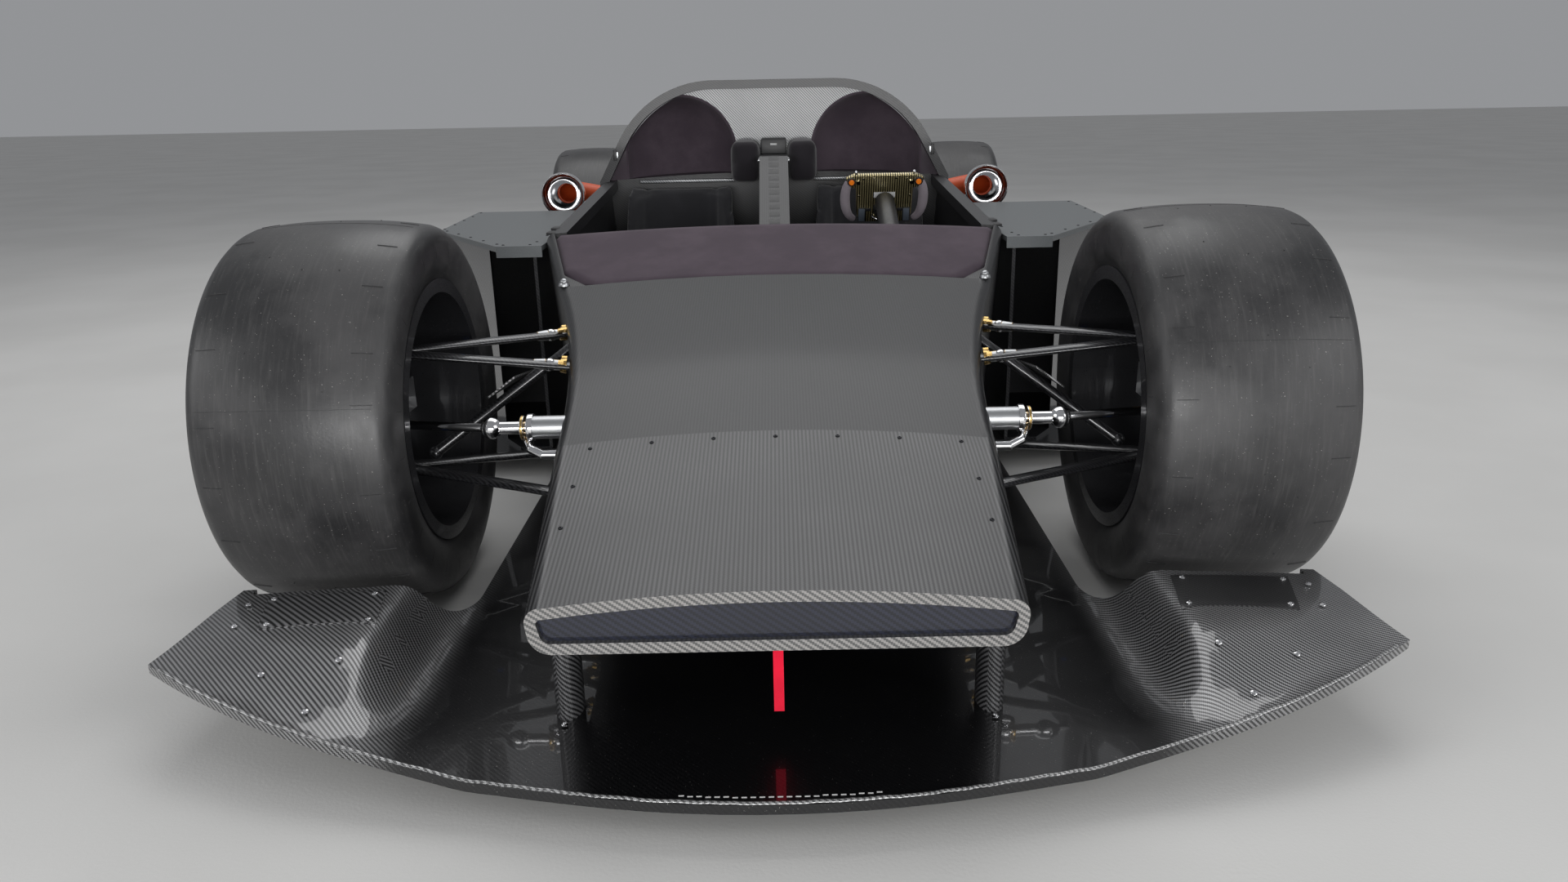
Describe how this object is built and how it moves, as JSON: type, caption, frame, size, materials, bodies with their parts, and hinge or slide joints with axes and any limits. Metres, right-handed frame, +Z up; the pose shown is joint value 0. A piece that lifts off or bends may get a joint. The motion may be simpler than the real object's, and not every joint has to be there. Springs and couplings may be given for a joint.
{
  "type": "concept hypercar rolling chassis",
  "caption": "Open concept hypercar without its outer bodywork: carbon tub, slick wheels on steered and driven axles, front splitter and side panels.",
  "frame": {"origin": "on the ground, on the centre plane, halfway along the car's length", "axes": "+Z up, the car faces -Y, +X is the car's own left side"},
  "size_m": [1.895, 4.4799, 0.962],
  "materials": {
    "tyre": "satin",
    "rim": "satin",
    "iron": "machined",
    "alloy": "machined",
    "carbon": "glossy twill weave",
    "suede": "napped",
    "black_cloth": "woven",
    "webbing": "woven",
    "panel_grey": "satin",
    "steel": "polished",
    "hose": "satin",
    "core": "matt",
    "engine": "cast",
    "turbo": "cast"
  },
  "bodies": {
    "chassis": {"monocoque": "carbon", "nose_box": "carbon", "nose_end_panel": "carbon", "front_splitter": "carbon", "splitter_stays": "carbon", "cockpit_hoop": "carbon", "bulkhead": "carbon", "centre_spine": "carbon", "floor": "carbon", "diffuser": "carbon", "sidepod_ducts": "carbon", "front_wishbones": "carbon", "rear_wishbones": "carbon", "rear_crash_box": "carbon", "intake_plenum": "carbon", "dash_pad": "suede", "headrest_linings": "suede", "head_pads": "black_cloth", "seats": "black_cloth", "front_tow_strap": "webbing", "side_panels": "panel_grey", "radiators": "core", "engine": "engine", "gearbox_case": "engine", "turbochargers": "turbo", "inlet_bells": "steel", "inlet_hoses": "hose", "rack_case": "steel", "steering_column": "alloy", "front_pushrods": "steel", "rear_pushrods": "steel", "rear_toe_links": "steel", "rear_uprights": "alloy"},
    "steering_wheel": {"steering_wheel": "carbon"},
    "steering_rack": {"steering_rack": "steel"},
    "front_left_knuckle": {"front_left_knuckle": "alloy"},
    "front_left_wheel": {"front_left_tyre": "tyre", "front_left_rim": "rim", "front_left_brake_disc": "iron"},
    "rear_left_wheel": {"rear_left_tyre": "tyre", "rear_left_rim": "rim", "rear_left_brake_disc": "iron", "rear_left_driveshaft": "steel"},
    "front_right_knuckle": {"front_right_knuckle": "alloy"},
    "front_right_wheel": {"front_right_tyre": "tyre", "front_right_rim": "rim", "front_right_brake_disc": "iron"},
    "rear_right_wheel": {"rear_right_tyre": "tyre", "rear_right_rim": "rim", "rear_right_brake_disc": "iron", "rear_right_driveshaft": "steel"}
  },
  "joints": [
    {"name": "front_left_steer", "type": "hinge", "parent": "chassis", "child": "front_left_knuckle", "pos_m": [0.74, -1.41, 0.355], "axis": [0, 0, 1], "range_deg": [-15, 15]},
    {"name": "front_right_steer", "type": "hinge", "parent": "chassis", "child": "front_right_knuckle", "pos_m": [-0.74, -1.41, 0.355], "axis": [0, 0, 1], "range_deg": [-15, 15]},
    {"name": "front_left_spin", "type": "hinge", "parent": "front_left_knuckle", "child": "front_left_wheel", "pos_m": [0.78, -1.41, 0.355], "axis": [1, 0, 0], "continuous": true},
    {"name": "rear_left_spin", "type": "hinge", "parent": "chassis", "child": "rear_left_wheel", "pos_m": [0.78, 1.54, 0.355], "axis": [1, 0, 0], "continuous": true},
    {"name": "front_right_spin", "type": "hinge", "parent": "front_right_knuckle", "child": "front_right_wheel", "pos_m": [-0.78, -1.41, 0.355], "axis": [1, 0, 0], "continuous": true},
    {"name": "rear_right_spin", "type": "hinge", "parent": "chassis", "child": "rear_right_wheel", "pos_m": [-0.78, 1.54, 0.355], "axis": [1, 0, 0], "continuous": true},
    {"name": "rack_slide", "type": "slide", "parent": "chassis", "child": "steering_rack", "axis": [1, 0, 0], "range_m": [-0.0367, 0.0367]},
    {"name": "steering_wheel_turn", "type": "hinge", "parent": "chassis", "child": "steering_wheel", "pos_m": [0.296, -0.41, 0.65], "axis": [0, 0.9272, 0.3746], "range_deg": [-150, 150]}
  ],
  "couplings": [
    {"joint": "front_right_steer", "follows": "front_left_steer", "ratio": 1},
    {"joint": "rack_slide", "follows": "front_left_steer", "m_per_rad": 0.14},
    {"joint": "steering_wheel_turn", "follows": "front_left_steer", "ratio": 10}
  ]
}
